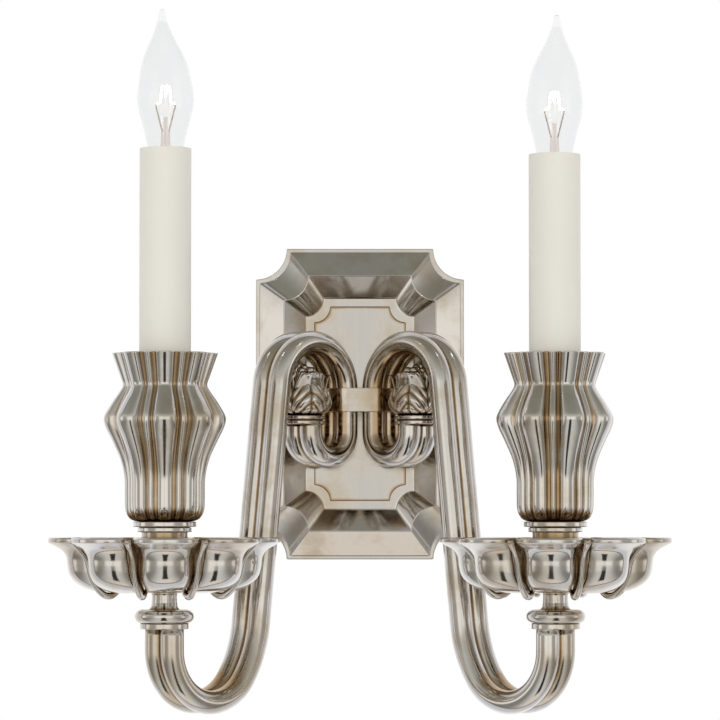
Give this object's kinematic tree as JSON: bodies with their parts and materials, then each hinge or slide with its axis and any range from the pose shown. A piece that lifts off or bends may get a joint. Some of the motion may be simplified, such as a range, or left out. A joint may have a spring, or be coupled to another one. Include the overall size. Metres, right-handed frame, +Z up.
{
  "type": "double arm wall sconce",
  "caption": "Wall sconce with two bent double-tube arms, fluted drip dishes and cups, candle sleeves and flame lamps on a scooped-corner framed backplate.",
  "frame": {"origin": "on the wall plane, at the middle of the backplate's back", "axes": "+X to the right as seen from the room, -Y out of the wall towards the room, +Z up"},
  "size_m": [0.3416, 0.1804, 0.3885],
  "materials": {
    "antique_silver": "burnished antique silver",
    "zinc_steel": "zinc plated",
    "green_screw": "green passivated",
    "white_plastic": "matte",
    "black_rubber": "matte",
    "socket_plastic": "moulded",
    "brass_shell": "plain",
    "ivory_sleeve": "smooth satin",
    "nickel_cap": "rolled",
    "black_glass": "gloss",
    "solder_pip": "dull",
    "clear_glass": "clear",
    "stem_glass": "clear",
    "support_wire": "drawn",
    "glowing_filament": "lit",
    "lead_sheath": "matte"
  },
  "bodies": {
    "sconce": {"arm_left": "antique_silver", "arm_right": "antique_silver", "arm_saddle": "antique_silver", "arm_strap": "antique_silver", "backplate": "antique_silver", "bud_left": "antique_silver", "bud_right": "antique_silver", "bud_ring_left": "antique_silver", "bud_ring_right": "antique_silver", "bud_studs": "zinc_steel", "candle_cup_left": "antique_silver", "candle_cup_right": "antique_silver", "collar_plate_left": "antique_silver", "collar_plate_right": "antique_silver", "crossbar": "zinc_steel", "cup_nuts": "zinc_steel", "cup_steps_left": "antique_silver", "cup_steps_right": "antique_silver", "dish_neck_left": "antique_silver", "dish_neck_right": "antique_silver", "drip_dish_left": "antique_silver", "drip_dish_right": "antique_silver", "ground_screw": "green_screw", "lead_left": "lead_sheath", "lead_right": "lead_sheath", "panel_bushes": "black_rubber", "pedestal_left": "antique_silver", "pedestal_right": "antique_silver", "riser_tube_left": "zinc_steel", "riser_tube_right": "zinc_steel", "saddle_screws": "zinc_steel", "side_screws": "zinc_steel", "socket_body_left": "socket_plastic", "socket_body_right": "socket_plastic", "socket_bracket_left": "zinc_steel", "socket_bracket_right": "zinc_steel", "socket_contact_left": "brass_shell", "socket_contact_right": "brass_shell", "socket_shell_left": "brass_shell", "socket_shell_right": "brass_shell", "terminal_block": "white_plastic", "threaded_rods": "zinc_steel", "torus_collar_left": "antique_silver", "torus_collar_right": "antique_silver"},
    "sleeve_left": {"candle_sleeve_left": "ivory_sleeve"},
    "sleeve_right": {"candle_sleeve_right": "ivory_sleeve"},
    "lamp_left": {"lamp_cap_left": "nickel_cap", "lamp_filament_left": "glowing_filament", "lamp_glass_left": "clear_glass", "lamp_insulator_left": "black_glass", "lamp_pip_left": "solder_pip", "lamp_stem_left": "stem_glass", "lamp_supports_left": "support_wire"},
    "lamp_right": {"lamp_cap_right": "nickel_cap", "lamp_filament_right": "glowing_filament", "lamp_glass_right": "clear_glass", "lamp_insulator_right": "black_glass", "lamp_pip_right": "solder_pip", "lamp_stem_right": "stem_glass", "lamp_supports_right": "support_wire"}
  },
  "joints": [
    {"name": "lamp_left_lift", "type": "slide", "parent": "sconce", "child": "lamp_left", "axis": [0, 0, 1], "range_m": [0, 0.045]},
    {"name": "sleeve_left_lift", "type": "slide", "parent": "sconce", "child": "sleeve_left", "axis": [0, 0, 1], "range_m": [0, 0.0105]},
    {"name": "lamp_right_lift", "type": "slide", "parent": "sconce", "child": "lamp_right", "axis": [0, 0, 1], "range_m": [0, 0.045]},
    {"name": "sleeve_right_lift", "type": "slide", "parent": "sconce", "child": "sleeve_right", "axis": [0, 0, 1], "range_m": [0, 0.0105]}
  ]
}
